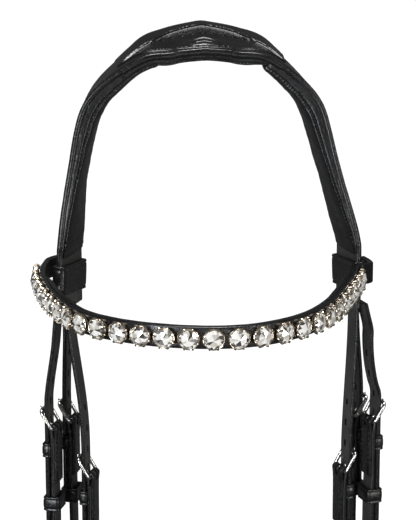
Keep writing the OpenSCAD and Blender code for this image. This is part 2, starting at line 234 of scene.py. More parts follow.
def painted_facet_tone(name, colour, metallic, rough):
    """One painted tone for the facets of a foil-backed stone: white, pale, grey and dark stand in for
    the flashes and dark reflections of cut crystal, and the pale one also for the foil's champagne
    tint.
    """
    m = Shading(name)
    cloud = m.noise(420, 2)
    tone = m.mix(m.ramp(cloud, 0, 1, 0.35, 0.65), shade(colour), shade(colour, 0.82, 0.82, 0.82))
    return m.finish({"Base Color": tone, "Normal": m.bump(cloud, 0.03, 0.0001),
                     "Roughness": m.ramp(cloud, rough * 0.6, rough * 1.6), "Metallic": metallic,
                     "Coat Weight": 1.0, "Coat Roughness": 0.02, "Coat IOR": 1.6})


BRIDLE = leather("bridle_leather_black", (0.0028, 0.0028, 0.0032), (0.0065, 0.0065, 0.0072),
                 0.27, 0.2, 0.22, 0.12)
SUPPLE = leather("supple_leather_black", (0.003, 0.003, 0.0034), (0.008, 0.008, 0.0088),
                 0.31, 0.42, 0.45, 0.06, cells=800)
FLESH = leather("strap_back_black", (0.02, 0.0198, 0.0195), (0.038, 0.037, 0.0355),
                0.55, 0.3, 0.25, 0.0, cells=1700)
THREAD = leather("waxed_thread_black", (0.012, 0.012, 0.013), (0.03, 0.03, 0.032),
                 0.45, 0.8, 0.2, 0.1, cells=2600, edge_wear_and_sheen=0.2)
STEEL = metal("polished_steel", (0.74, 0.73, 0.71), (0.62, 0.61, 0.6), 0.13, 0.12)
CHAMPAGNE = metal("champagne_metal", (0.74, 0.66, 0.55), (0.58, 0.5, 0.4), 0.2, 0.2)
# painted reflection: these four facet tones paint the white flashes and the grey and dark reflections
# of the stones; the pale one also carries the foil's champagne tint
FACET_FLASH_TONES = [
    painted_facet_tone("crystal_painted_flash_white", (0.97, 0.96, 0.93), 0.35, 0.08),
    painted_facet_tone("crystal_pale_foil_and_painted_flash", (0.82, 0.77, 0.69), 0.5, 0.08),
    painted_facet_tone("crystal_painted_grey_reflection", (0.48, 0.46, 0.43), 0.7, 0.07),
    painted_facet_tone("crystal_painted_dark_reflection", (0.12, 0.11, 0.1), 0.6, 0.06),
]
HIDES = [BRIDLE, FLESH, THREAD]
SOFT = [SUPPLE, FLESH, THREAD]
FLESH_SLOT, THREAD_SLOT = 1, 2  # in both lists


# ---- Mesh building ----

def rounded_section(w, lo, hi, r=0.8, crease=None, depth=0.3, dome=0.0, flat=4):
    """Outline (u, n) of a strap: rounded edges, and pressed lines and a dome on the outside."""
    half = w / 2
    r = min(r, (hi - lo) / 2 * 0.98, half * 0.6)

    def corner(cu, cn, start):
        angles = [math.radians(start + 22.5 * k) for k in range(5)]
        return [(cu + r * math.cos(a), cn + r * math.sin(a)) for a in angles]

    def face(level, out, line, dome):
        inset, g = min(line or 0, half * 0.45), min(0.55, half * 0.12)
        inner = half - (inset + g if line else r) - 0.15
        across = [inner * (1 - 2 * (k + 0.5) / flat) for k in range(flat)]
        marks = [(u, dome * (1 - (u / half) ** 2)) for u in across]
        if line:
            pressed = [(half - inset + g, 0), (half - inset, -depth), (half - inset - g, 0)]
            marks = pressed + marks + [(-u, dn) for u, dn in pressed[::-1]]
        marks = [(u, level + out * dn) for u, dn in marks]
        return marks if out > 0 else marks[::-1]

    return (corner(half - r, hi - r, 0) + face(hi, 1, crease, dome) + corner(-half + r, hi - r, 90)
            + corner(-half + r, lo + r, 180) + face(lo, -1, None, 0)
            + corner(half - r, lo + r, 270))


PAD_FLAT, PAD_COUNT = 8, 56


def pad_section(w, top, bottom, bulge, grooves, depth, count=PAD_COUNT, boxy=0.45):
    """Outline of a stuffed pad: flat on the strap side, full below, sewn at the grooves."""
    pts = [(w / 2 - w * k / PAD_FLAT, top) for k in range(1, PAD_FLAT)]
    for k in range(count + 1):
        a = math.pi * k / count
        c, s = math.cos(a), math.sin(a)
        u = -math.copysign(abs(c) ** boxy, c) * (w / 2 + bulge * s)
        n = top - (top - bottom) * abs(s) ** boxy
        for g in grooves:
            dent = depth * bell(k / count - g, 0.035)
            u += math.copysign(dent * abs(c) ** 0.5, -u)
            n += dent * abs(s) ** 0.5
        pts.append((u, n))
    return pts


def outline_shrunk(section, by):
    """The outline drawn in by a distance on every side, for a rounded end."""
    us, ns = zip(*section)
    cu, cn = (max(us) + min(us)) / 2, (max(ns) + min(ns)) / 2
    fu = max(0.05, 1 - 2 * by / (max(us) - min(us)))
    fn = max(0.05, 1 - 2 * by / (max(ns) - min(ns)))
    return [(cu + (u - cu) * fu, cn + (n - cn) * fn) for u, n in section]


def outward_faces(verts, faces):
    """The faces, turned so that the closed shape they make has its outside out."""
    v = np.array(verts, float)
    v = v - v.mean(0)
    quads = np.array([f for f in faces if len(f) == 4])
    volume = 0.0
    if len(quads):
        a, b, c, d = (v[quads[:, k]] for k in range(4))
        volume += np.einsum("ij,ij->", a, np.cross(b, c)) + np.einsum("ij,ij->", a, np.cross(c, d))
    for f in faces:
        if len(f) != 4:
            for k in range(1, len(f) - 1):
                volume += np.dot(v[f[0]], np.cross(v[f[k]], v[f[k + 1]]))
    return [tuple(f) for f in faces] if volume > 0 else [tuple(f)[::-1] for f in faces]


STITCH_RINGS = ((0, 0.4, 0.3), (0.16, 0.9, 0.05), (0.5, 1, 0), (0.84, 0.9, 0.05), (1, 0.4, 0.3))


class Piece:
    """One visual piece: closed shapes in millimetres; the late ones are added after any cut."""
    def __init__(self, name, mats):
        self.name, self.mats = name, mats
        self.verts, self.faces, self.index = [], [], []
        self.late = []

    def add(self, verts, faces, mat=0, late=False):
        faces = outward_faces(verts, faces)
        if late:
            self.late.append((verts, faces, mat))
            return
        k = len(self.verts)
        self.verts += list(verts)
        self.faces += [tuple(i + k for i in f) for f in faces]
        self.index += mat if isinstance(mat, list) else [mat] * len(faces)

    def sweep(self, frames, sections, mat=0, back=None, closed=False, bevel=0.4, late=False):
        """Skin over the sections placed on the frames (point, across, out)."""
        frames, sections = list(frames), list(sections)
        if not closed and bevel:
            for end in (0, -1):
                near = frames[1 if end == 0 else -2][0] - frames[end][0]
                step = unit(near) * min(bevel, 0.6 * float(np.linalg.norm(near)))
                p, a, n = frames[end][:3]
                at = 1 if end == 0 else len(frames) - 1
                frames.insert(at, (p + step, a, n))
                sections.insert(at, sections[end])
                sections[end] = outline_shrunk(sections[end], bevel)
        k = len(sections[0])
        verts, faces, index = [], [], []
        for f, sec in zip(frames, sections):
            verts += [f[0] + f[1] * u + f[2] * n for u, n in sec]
        mid = sections[len(sections) // 2]
        ns = [p[1] for p in mid]
        limit = min(ns) + 0.12 * (max(ns) - min(ns))
        count = len(frames)
        for i in range(count if closed else count - 1):
            j = (i + 1) % count
            for a in range(k):
                b = (a + 1) % k
                faces.append((i * k + a, i * k + b, j * k + b, j * k + a))
                under = back is not None and mid[a][1] < limit and mid[b][1] < limit
                index.append(back if under else mat)
        if not closed:
            faces += [tuple(range(k))[::-1], tuple(range((count - 1) * k, count * k))]
            index += [mat, mat]
        self.add(verts, faces, index, late)

    def tube(self, points, radius, mat=0, closed=False, sides=12, late=False):
        """Round wire along the points; radius may vary."""
        points = [np.array(p, float) for p in points]
        count = len(points)
        radii = radius if isinstance(radius, (list, tuple)) else [radius] * count
        frames = []
        side = None
        for i, p in enumerate(points):
            if closed:
                t = unit(points[(i + 1) % count] - points[i - 1])
            else:
                t = unit(points[min(i + 1, count - 1)] - points[max(i - 1, 0)])
            if side is None:
                side = np.cross(t, vec(0.31, 0.52, 0.79))
            side = unit(side - t * np.dot(side, t))
            frames.append((p, side, np.cross(t, side)))
        rings = [[(r * math.cos(2 * math.pi * k / sides), r * math.sin(2 * math.pi * k / sides))
                  for k in range(sides)] for r in radii]
        self.sweep(frames, rings, mat, closed=closed, bevel=0, late=late)

    def lathe(self, profile, at, axis, steps=28, start=None):
        """Turned shape: (radius, height) rows about an axis; both ends are closed."""
        axis = unit(axis)
        side = unit(np.cross(axis, vec(0.3, 0.5, 0.81) if start is None else start))
        other = np.cross(axis, side)
        verts, faces = [], []
        for r, h in profile:
            verts += [at + axis * h + (side * math.cos(2 * math.pi * k / steps)
                                       + other * math.sin(2 * math.pi * k / steps)) * r
                      for k in range(steps)]
        for i in range(len(profile) - 1):
            for k in range(steps):
                j = (k + 1) % steps
                faces.append((i * steps + k, i * steps + j, (i + 1) * steps + j, (i + 1) * steps + k))
        last = (len(profile) - 1) * steps
        faces += [tuple(range(steps))[::-1], tuple(range(last, last + steps))]
        self.add(verts, faces)

    def stitches(self, line, ups, pitch=3.3, length=2.2, radius=0.33, sink=0.08):
        """A row of thread stitches along a line that lies on the leather."""
        line = [np.array(p, float) for p in line]
        at = runs(line)
        count = int(at[-1] / pitch)

        def point(s):
            s = min(max(s, 0), at[-1] - 1e-6)
            i = int(np.searchsorted(at, s, side="right")) - 1
            t = (s - at[i]) / (at[i + 1] - at[i])
            return line[i] * (1 - t) + line[i + 1] * t, unit(ups[i] * (1 - t) + ups[i + 1] * t)

        verts, faces = [], []
        for k in range(count):
            s = (k + 0.5) * at[-1] / count
            a, up = point(s - length / 2)
            b, _ = point(s + length / 2)
            t = unit(b - a)
            side = unit(np.cross(t, up))
            up = np.cross(side, t)
            base = len(verts)
            for f, r, dip in STITCH_RINGS:
                c = a + (b - a) * f - up * (sink + dip)
                verts += [c + (side * math.cos(q) + up * math.sin(q)) * radius * r
                          for q in (math.pi * j / 3 for j in range(6))]
            for ring in range(base, base + 24, 6):
                for j in range(6):
                    m = (j + 1) % 6
                    faces.append((ring + j, ring + m, ring + 6 + m, ring + 6 + j))
            faces += [tuple(base + j for j in range(6))[::-1], tuple(base + 24 + j for j in range(6))]
        self.add(verts, faces, THREAD_SLOT, late=True)

    def build(self, body=None, nodes=(), cut=None, sharp=38, flat=False,
              blend=None, shape=None):
        obj = as_object(self.name, self.verts, self.faces, self.index, self.mats)
        if cut:
            tool = as_object(self.name + "_cut", cut.verts, cut.faces, cut.index, [])
            boolean = obj.modifiers.new("cut", "BOOLEAN")
            boolean.object, boolean.operation, boolean.solver = tool, "DIFFERENCE", "EXACT"
            boolean.use_self = True
            bpy.context.view_layer.update()
            whole = bpy.context.evaluated_depsgraph_get()
            mesh = bpy.data.meshes.new_from_object(obj.evaluated_get(whole))
            obj.modifiers.clear()
            obj.data = mesh
            bpy.data.objects.remove(tool)
            slots = np.zeros(len(mesh.polygons), int)
            mesh.polygons.foreach_get("material_index", slots)
            mesh.materials.clear()
            for m in self.mats:
                mesh.materials.append(m)
            slots = np.where(slots < len(self.mats), slots, 0)
            mesh.polygons.foreach_set("material_index", slots)
        if shape:
            shape(obj.data)
        bm = bmesh.new()
        bm.from_mesh(obj.data)
        for verts, faces, mat in self.late:
            made = [bm.verts.new(Vector(v) * MM) for v in verts]
            for k, f in enumerate(faces):
                face = bm.faces.new([made[i] for i in f])
                face.material_index = mat[k] if isinstance(mat, list) else mat
        bm.to_mesh(obj.data)
        bm.free()
        if not flat:
            obj.data.shade_smooth()
            obj.data.set_sharp_from_angle(angle=math.radians(sharp))
        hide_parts(*nodes)
        if blend:
            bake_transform(obj)
        else:
            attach(obj, body)


def as_object(name, verts, faces, index, mats):
    mesh = bpy.data.meshes.new(name)
    mesh.from_pydata([Vector(v) * MM for v in verts], [], faces)
    for m in mats:
        mesh.materials.append(m)
    mesh.polygons.foreach_set("material_index", index)
    mesh.update()
    obj = bpy.data.objects.new(name, mesh)
    bpy.context.scene.collection.objects.link(obj)
    return obj


# ---- Headpiece ----

def lean(z):
    """Sideways lean of the headpiece as it hangs."""
    return 0 if z > 0 else CROWN_LEAN * math.sin(math.pi * min(1, -z / 85))


def fullness(s):
    """How far the leather stands out from its CAD line: out at the haunches, in at the shoulders."""
    return 2.8 * bell(abs(s) - 80, 24) - 1.4 * bell(abs(s) - 36, 14)


def crown_frames(steps):
    """(point, across, out, width, distance from the poll) along the headpiece, left to right."""
    right = spline(CROWN, steps)
    rows = [r * vec(-1, 1, 1, 1, -LEFT_TURN, 1) for r in right[:0:-1]] + right
    mids = [vec(r[0] + lean(r[2]) + CROWN_SHIFT * ease((-r[2] - 78) / 36), r[1], r[2]) for r in rows]
    at = runs(mids)
    middle = at[len(at) // 2]
    out = []
    for i, r in enumerate(rows):
        along = unit(mids[min(i + 1, len(rows) - 1)] - mids[max(i - 1, 0)])
        turn, tilt = math.radians(r[4]), math.radians(r[5])
        across = vec(-math.sin(turn) * math.cos(tilt), math.cos(turn) * math.cos(tilt), math.sin(tilt))
        across = unit(across - along * np.dot(across, along))
        away = np.cross(along, across)
        out.append((mids[i] + away * fullness(at[i] - middle), across, away, r[3], at[i] - middle))
    return out


def part_of(frames, steps, first, last):
    """The frames between two quarter rows of the CAD source, counted from the poll."""
    mid = len(frames) // 2
    return frames[mid + round(first * steps / 4):mid + round(last * steps / 4) + 1]


crown = crown_frames(8)
piece = Piece("crown_strap_leather", HIDES)
sections = [rounded_section(f[3], 0.1, CROWN_T, 1.5, crease=3.2, depth=0.4, dome=0.25, flat=8)
            for f in crown]
piece.sweep(crown, sections, back=FLESH_SLOT, bevel=0.6)
STITCHED_FROM, STITCH_INSET = 62, 4.8
for end in (-1, 1):
    line = [f for f in crown if end * f[4] > STITCHED_FROM]
    for edge in (-1, 1):
        across = [edge * (f[3] / 2 - STITCH_INSET) for f in line]
        piece.stitches([f[0] + f[1] * u + f[2] * CROWN_T for f, u in zip(line, across)],
                       [f[2] for f in line])
piece.build("headpiece", ["crown_strap"])


def cover_section(f, s, reach):
    """Shaped cover: a lens panel between two piped ridges, rolled down over the front edge."""
    w = f[3]
    count = 140
    under = CROWN_T + 0.12
    along = min(1, abs(s) / reach)
    end = max(0.0, 1 - along ** 8) ** 0.5
    rear, front = 0.455 * w, -0.5 * w - 0.15
    arch = 0.27 + 0.44 * min(1, along / 0.93) ** 2
    low = 0.95 - 0.22 * along ** 2
    full = 4.9 * (1 - 0.82 * along) * (0.4 + 0.6 * end)
    pts = []
    for k in range(count + 1):
        q = k / count
        u = rear + (front - rear) * q
        n = CROWN_T + 0.2 + full * (1 - max(0, (q - 0.27) / 0.73) ** 1.5)
        n -= (full * 0.8) * max(0, 1 - q / 0.06) ** 2
        inside = ease((q - arch) / 0.03) * ease((low - q) / 0.03)
        n -= 0.7 * inside
        n += 0.7 * bell(q - arch, 0.012) * ease((low - arch) / 0.12)
        n += 0.8 * bell(q - low, 0.012)
        n += 0.8 * inside * ornament(s, u)
        pts.append((u, n))
    for a in range(15, 181, 15):
        t = math.radians(a)
        drop = (pts[count][1] - 1.4) * max(0, math.cos(t)) + 2.2 * min(0, math.cos(t))
        pts.append((front - 1.5 * math.sin(t), 1.4 + drop))
    back = [(front + 0.02, 0.2), (front + 0.02, under)]
    back += [(front + (rear - front) * k / 6, under) for k in range(1, 6)]
    return pts + back


def ornament(s, u):
    """Generic tooling: a row of small lozenges over an oval ring."""
    line = 0.003 * s * s - 1.5
    cell = s / 6.2 - round(s / 6.2)
    value = max(0, 1 - (abs(u - line) / 3.2 + abs(cell) * 2.4)) ** 0.5 if abs(s) < 34 else 0
    ring = math.hypot(s / 9.8, (u + 14) / 4.6)
    value = max(value, 0.6 * bell(ring - 1, 0.15))
    if ring < 0.8:
        value = max(value, 0.5 * bell(u + 14, 0.7) * ease((0.75 - ring) / 0.2))
    return value


REAR_SEAM = 11
fine = part_of(crown_frames(32), 32, -10.5, 10)
reach = max(abs(f[4]) for f in fine)
piece = Piece("poll_cover_leather", HIDES)
covers = [cover_section(f, f[4], reach) for f in fine]
piece.sweep(fine, covers, bevel=0.5)
rear = [(f, sec[REAR_SEAM]) for f, sec in zip(fine, covers) if abs(f[4]) < reach - 3]
piece.stitches([f[0] + f[1] * p[0] + f[2] * p[1] for f, p in rear], [f[2] for f, _ in rear],
               pitch=2.9, length=1.9, radius=0.26)
piece.build("headpiece", ["poll_cover"])


def wrinkled(amount, along=90.0, seed=0.0):
    """Moves vertices along their normals by stretched noise, as leather over stuffing."""
    def shape(mesh):
        mesh.update()
        normals = [v.normal.copy() for v in mesh.vertices]
        for v, n in zip(mesh.vertices, normals):
            p = v.co
            broad = noise.noise(Vector((p.x * along + seed, p.y * along, p.z * along)))
            fold = noise.noise(Vector((p.x * 60 + seed, p.y * 60, p.z * 420)))
            v.co += n * (amount * MM) * (0.8 * broad + 0.5 * fold)
    return shape


def pad_depth(z):
    """Fullness of the side rolls, from the tongue-shaped top to the flat end at the loops."""
    return float(np.interp(-z, PAD_DROP, PAD_FULL))


def padded_run(name, node, frames, scale, grooves, ends, side=False):
    """Stuffed roll under the headpiece with gathered seams and rounded ends."""
    narrow = 0.4 if side else 0.15
    tick = 2.3
    piece = Piece(name, SOFT)
    total = frames[-1][4] - frames[0][4]
    sections = []
    for f in frames:
        s = f[4] - frames[0][4]
        full = 1.0
        for distance, radius in ((s, ends[0]), (total - s, ends[1])):
            if distance < radius:
                full = min(full, math.sqrt(max(0.0, 1 - (1 - distance / radius) ** 2)))
        gather = 0.5 + 0.5 * math.sin(2 * math.pi * s / tick + 1.3 * math.sin(s * 0.21))
        w = f[3] * scale * (1 - narrow + narrow * full)
        depth = pad_depth(f[0][2]) if side else CROWN_PAD_T
        bottom = -0.25 - (depth - 0.25) * max(full, 0.06)
        dent = (0.95 + 0.5 * gather) * full
        sections.append(pad_section(w, -0.15, bottom, 0.9 * full, grooves, dent,
                                    boxy=0.66 if side else 0.45))
    piece.sweep(frames, sections, bevel=0)
    for g in grooves:
        k = PAD_FLAT - 1 + round(g * PAD_COUNT)
        rows = [(f, sec[k]) for f, sec in zip(frames, sections)
                if 4 < f[4] - frames[0][4] < total - 4]
        line = [f[0] + f[1] * u + f[2] * n for f, (u, n) in rows]
        edge = -1 if g < 0.5 else 1
        ups = [unit(f[1] * edge * (1.3 - 2 * min(g, 1 - g)) - f[2] * 0.8) for f, _ in rows]
        piece.stitches(line, ups, pitch=tick, length=1.5, radius=0.3, sink=-0.1)
    piece.build("headpiece", [node],
                shape=wrinkled(0.3, seed=total))


soft = crown_frames(48)
padded_run("poll_padding", "crown_padding", part_of(soft, 48, -9, 9.4), 0.99, (0.13, 0.87),
           (17, 17))
for word, first, last, ends in (("left", -41, -6.2, (2, 7)), ("right", 8.2, 41, (7, 2))):
    padded_run("side_padding_" + word, "side_pad_" + word, part_of(soft, 48, first, last), 0.97,
               (0.16, 0.84), ends, side=True)

# ---- Browband ----

def level_frames(points, z):
    """Frames for a strap on edge along points in plan."""
    out = []
    for i, p in enumerate(points):
        t = unit(points[min(i + 1, len(points) - 1)] - points[max(i - 1, 0)])
        out.append((vec(p[0], p[1], z), UP, vec(t[1], -t[0], 0)))
    return out


left_turned = [(-83.4, -17.4), (-90.6, -20.2), (-96, -26)]
right_turned = [(94.6, -53.9), (99.3, -50.2), (98.9, -43.5), (96.4, -35.5)]
strap_line = level_frames(spline(left_turned + BROW + right_turned, 12), BROW_Z)
piece = Piece("browband_strap_leather", HIDES)
section = rounded_section(BROW_H, -BROW_T / 2, BROW_T / 2, 1.1, flat=3)
piece.sweep(strap_line, [section] * len(strap_line), back=FLESH_SLOT)
band = level_frames(spline(BROW, 12), BROW_Z)
for edge in (-1, 1):
    piece.stitches([f[0] + f[1] * edge * (BROW_H / 2 - 0.55) - f[2] * 0.2 for f in band],
                   [f[1] * edge for f in band], pitch=3.0, length=2.0, radius=0.26)
piece.build("browband", ["browband_strap"])

lining = band[24:]  # it starts past the left loop
piece = Piece("browband_lining_padded", SOFT)
sections = []
top = -BROW_T / 2 - 0.2
for i in range(len(lining)):
    full = min(1, 0.25 + i / 8, 0.25 + (len(lining) - 1 - i) / 8)
    sections.append(pad_section(BROW_H - 0.6, top, top - LINING_T * full, 0.35, (0.12, 0.88), 0.45,
                                36, 0.5))
piece.sweep(lining, sections, bevel=0)
piece.build("browband", ["browband_lining"],
            shape=wrinkled(0.16, 120, 3.0))

at = runs([f[0] for f in band])
count = int((at[-1] - CRYSTAL_D) / PITCH) + 1
start = (at[-1] - (count - 1) * PITCH) / 2
settings = Piece("crystal_claw_settings", [CHAMPAGNE])
stones = Piece("crystal_stones", FACET_FLASH_TONES)
rng = random.Random(11)
r = CRYSTAL_D / 2
FACETS, CLAWS = 12, 8
RIM = [(r - 1.6, 1.45), (r - 0.5, 1.7), (r + 0.2, 2.6), (r + 0.55, 3.7), (r + 0.55, 4.4),
       (r + 0.25, 4.65), (r - 0.1, 4.5), (r - 0.25, 4.0), (r - 1.2, 3.7)]
CLAW = [(r + 0.35, 2.6), (r + 0.7, 3.8), (r + 0.55, 4.8), (r, 5.5), (r - 0.7, 5.8)]
GIRDLES = [(r - 0.25, 4.3, 0.0), (r - 0.15, 4.9, 0.0), (r * 0.66, 6.2, 0.5)]
PEAK = 7.1
for k in range(count):
    s = start + k * PITCH
    i = int(np.searchsorted(at, s, side="right")) - 1
    t = (s - at[i]) / (at[i + 1] - at[i])
    p = band[i][0] * (1 - t) + band[i + 1][0] * t
    out = unit(band[i][2] * (1 - t) + band[i + 1][2] * t)
    side = np.cross(UP, out)
    settings.lathe(RIM, p, out, start=UP)
    for c in range(CLAWS):
        a = math.pi * (2 * c + 1) / CLAWS
        ray = side * math.cos(a) + UP * math.sin(a)
        settings.tube([p + out * h + ray * d for d, h in CLAW], [0.5, 0.55, 0.55, 0.5, 0.3], sides=6)
    verts, faces, tones = [], [], []
    for radius, h, phase in GIRDLES:
        angles = [2 * math.pi * (j + phase) / FACETS for j in range(FACETS)]
        verts += [p + out * h + (side * math.cos(a) + UP * math.sin(a)) * radius for a in angles]
    verts.append(p + out * PEAK)
    roll = rng.random() * 6.283
    for j in range(FACETS):
        m = (j + 1) % FACETS
        # painted glints: a wave round each stone plus a random draw picks a white, pale, grey or dark
        # tone for each facet, standing in for the sparkle and dark reflections of cut crystal
        glint = math.sin(roll + 4.2 * math.pi * j / FACETS) + rng.uniform(-1.1, 1.1)
        painted_flash_tone = 0 if glint > 0.15 else 1 if glint > -0.75 else 2 if glint > -1.35 else 3
        faces.append((2 * FACETS + j, 2 * FACETS + m, 3 * FACETS))
        tones.append(painted_flash_tone)
        faces.append((FACETS + j, FACETS + m, 2 * FACETS + j))
        tones.append(rng.choice((0, 0, 1, 1, 2, 3)))
        faces.append((FACETS + m, 2 * FACETS + m, 2 * FACETS + j))
        tones.append(rng.choice((0, 0, 1, 2, 2, 3)))
        faces.append((j, m, FACETS + m, FACETS + j))
        tones.append(1)
    faces.append(tuple(range(FACETS))[::-1])
    tones.append(3)
    stones.add(verts, faces, tones)
settings.build("browband", ["crystal_settings"])
stones.build("browband", ["crystals"], flat=True)


def rounded_loop(half_a, half_b, r, steps=5):
    """Rounded rectangle (a, b) with outward directions, anticlockwise."""
    pts = []
    for ca, cb, start_angle in ((half_a - r, half_b - r, 0), (-half_a + r, half_b - r, 90),
                                (-half_a + r, -half_b + r, 180), (half_a - r, -half_b + r, 270)):
        for k in range(steps + 1):
            a = math.radians(start_angle + 90 * k / steps)
            pts.append((ca + r * math.cos(a), cb + r * math.sin(a), math.cos(a), math.sin(a)))
    out = []
    for p, q in zip(pts, pts[1:] + pts[:1]):
        out.append(p)
        gap = math.hypot(q[0] - p[0], q[1] - p[1])
        if gap > 2.5:
            for k in range(1, int(gap / 2)):
                t = k / int(gap / 2)
                out.append(tuple((1 - t) * x + t * y for x, y in zip(p, q)))
    return out


def leather_ring(piece, centre, ways, half_a, half_b, low, high, wall=RING_WALL, corner=1.5,
                 tilt=0.0, crease=1.5):
    """Band of leather round a rectangle; half sizes are to the middle of its wall."""
    a_way, b_way, axis = ways
    centre = centre + axis * (low + high) / 2
    if tilt:
        axis = unit(axis + b_way * tilt)
        b_way = unit(b_way - axis * np.dot(b_way, axis))
    frames = []
    for a, b, da, db in rounded_loop(half_a, half_b, corner):
        frames.append((centre + a_way * a + b_way * b, axis, unit(a_way * da + b_way * db)))
    section = rounded_section(high - low, -wall / 2, wall / 2, wall * 0.45, crease=crease,
                              depth=0.42, dome=0.12)
    piece.sweep(frames, [section] * len(frames), closed=True, back=FLESH_SLOT)
    return frames


for side, word in SIDES:
    angle = math.radians(LOOP_TURN if side == RIGHT else -LEFT_TURN * LOOP_TURN)
    out = vec(math.cos(angle), math.sin(angle), 0)
    back = vec(-math.sin(angle), math.cos(angle), 0)
    centre = vec(side * LOOP_HALF + CROWN_SHIFT, CROWN[-1][1], LOOP_Z)
    centre = centre + out * side * (CROWN_T + 0.1) / 2
    piece = Piece("browband_loop_leather_" + word, HIDES)
    half = LOOP_H / 2 - LOOP_PLAY
    ring = leather_ring(piece, centre, (out, back, UP), LOOP_RING_N, LOOP_RING_U, -half, half,
                        LOOP_WALL, corner=2.2, tilt=0.1, crease=2.0)
    rows = [f for f in ring if np.dot(f[0] - centre, out) * side < 0.1 - LOOP_RING_N]
    for edge in (-1, 1):
        piece.stitches([f[0] + f[1] * edge * (half - 2) + f[2] * LOOP_WALL / 2 for f in rows],
                       [f[2] for f in rows], pitch=2.8, length=1.8, radius=0.26)
    piece.build("browband", ["browband_loop_" + word])


# ---- Buckled straps ----

class Heel:
    """Frame at a buckle's heel bar: n points outward, u along the bar and v up the strap."""
    def __init__(self, origin, n, u, v):
        self.o, self.n, self.u, self.v = origin, n, u, v
        self.ways = (n, u, v)

    def at(self, n, u, v):
        return self.o + self.n * n + self.u * u + self.v * v

    def frames(self, line, sign=1):
        """Frames along rows of (n, v): the grain faces outward on a line that rises, or with a
        sign of -1 on one that falls."""
        out = []
        for i, p in enumerate(line):
            a, b = line[max(i - 1, 0)], line[min(i + 1, len(line) - 1)]
            dn, dv = b[0] - a[0], b[1] - a[1]
            grain = (self.n * dv - self.v * dn) * sign / math.hypot(dn, dv)
            out.append((self.at(p[0], 0, p[1]), self.u, grain))
        return out


def heel_of(kind, side):
    table = KINDS[kind]
    a = math.radians(STRAP_ANGLE)
    return Heel(vec(side * table[0] + table[1], table[2], table[3]),
                vec(side * math.cos(a), math.sin(a), 0), vec(-side * math.sin(a), math.cos(a), 0),
                UP)


def oval_cutter(piece, heel, n, low, high, r=1.3):
    """Adds a punched hole's shape, through the strap at n."""
    outline = []
    for end, first in ((high, 0), (low, 180)):
        angles = [math.radians(a) for a in range(first, first + 181, 20)]
        outline += [(r * math.cos(a), end + r * math.sin(a)) for a in angles]
    verts = [heel.at(n + depth, u, v) for depth in (-4, 4) for u, v in outline]
    k = len(outline)
    faces = [(i, (i + 1) % k, k + (i + 1) % k, k + i) for i in range(k)]
    piece.add(verts, faces + [tuple(range(k))[::-1], tuple(range(k, 2 * k))])


def level(line, v):
    """n on a rising line at the height v."""
    return float(np.interp(v, [p[1] for p in line], [p[0] for p in line]))


def pointed(line, tail, n=BILLET_N):
    """The line with its lower end rounded off at -tail, and the strap's width along it."""
    half = STRAP_W / 2
    turns = [math.radians(a) for a in TIP_ANGLES]
    tip = [(n, -tail + half * (1 - math.cos(a))) for a in turns]
    kept = [tuple(p) for i, p in enumerate(line) if i > len(line) / 2 or p[1] > -tail + half]
    return tip + kept, [STRAP_W * math.sin(a) for a in turns] + [STRAP_W] * len(kept)


def billet(kind, side, word, body):
    """Strap hanging from the headpiece, through its buckle and keepers to its tail."""
    heel = heel_of(kind, side)
    table = KINDS[kind]
    tail = TAILS[kind]
    top_n = table[4] if side == LEFT else table[5]
    top = FLEX_Z - table[3]
    join = {"cheek": -4.2 if side == RIGHT else -1.6, "throat": -1.5, "nose": 0.0}[kind]
    rows = [(BILLET_N, -tail), (BILLET_N, -tail / 2), (BILLET_N, 1), (BILLET_N, 8), (BILLET_N, 18)]
    for k in range(1, 6):
        t = k / 6
        sunk = 1 - (1 - t) ** 2.4 if kind == "cheek" and side == RIGHT else 0.5 * t + 0.5 * ease(t)
        bow = 1.2 * math.sin(math.pi * t) if kind == "nose" and side == LEFT else 0
        rows.append((BILLET_N + (top_n - BILLET_N) * sunk - bow, 18 + (top - 28) * t))
    rows += [(top_n, top - 10), (top_n + 0.6 * join, top), (top_n + join, top + 6.5)]
    line, widths = pointed(spline(rows, 10), tail)
    sections = [rounded_section(w, -BILLET_T / 2, BILLET_T / 2, 1.25, crease=2.2, depth=0.26)
                for w in widths]
    piece = Piece(f"{kind}_billet_leather_{word}", HIDES)
    piece.sweep(heel.frames(line), sections, back=FLESH_SLOT, bevel=0.25)
    cut = Piece("holes", [])
    holes = [(-1.2, 6)] + [(3.4 + k * HOLE_PITCH - 1, 3.4 + k * HOLE_PITCH + 1) for k in (1, 2, 3)]
    holes += [(-k * HOLE_PITCH - 3, -k * HOLE_PITCH - 1) for k in (1, 2)]
    for low, high in holes:
        oval_cutter(cut, heel, level(line, (low + high) / 2), low, high)
    flex = heel.at(top_n, 0, top) * MM
    step = vec(0, 0, 0.008)
    piece.build(nodes=[f"{kind}_billet_{word}"], cut=cut,
                blend=("headpiece", body, tuple(flex + step), tuple(flex - step)))


def turned(n, v, r, first, thickness):
    """Rows of a strap that bends 220 degrees round a bar at (n, v)."""
    angles = [math.radians(a) for a in range(first, first - 221, -15)]
    return [(n + r * math.cos(a), v + r * math.sin(a), thickness) for a in angles]


def fold_line(tail_rows):
    """Strap turned back over the heel bar: (n, v, thickness) from its short end down the strap."""
    rows = [(-1.1, -35.5, 1.9), (-1.1, -28, 2.1), (-1.1, -20, 2.1), (-1.15, -10, 2.1), (-1.4, -4, 1.9)]
    rows += turned(0, 0, FOLD_MEAN_R, 200, 1.55)
    rows += [(1.4, -4, 1.9), (1.15, -10, 2.1), (1.1, -20, 2.1), (1.1, -30, 2.1)]
    return [tuple(r) for r in spline(rows + tail_rows, 3)]


def strap_sections(rows, w=STRAP_W, crease=1.9):
    return [rounded_section(w, -r[2] / 2, r[2] / 2, 0.95, crease=crease, depth=0.24) for r in rows]


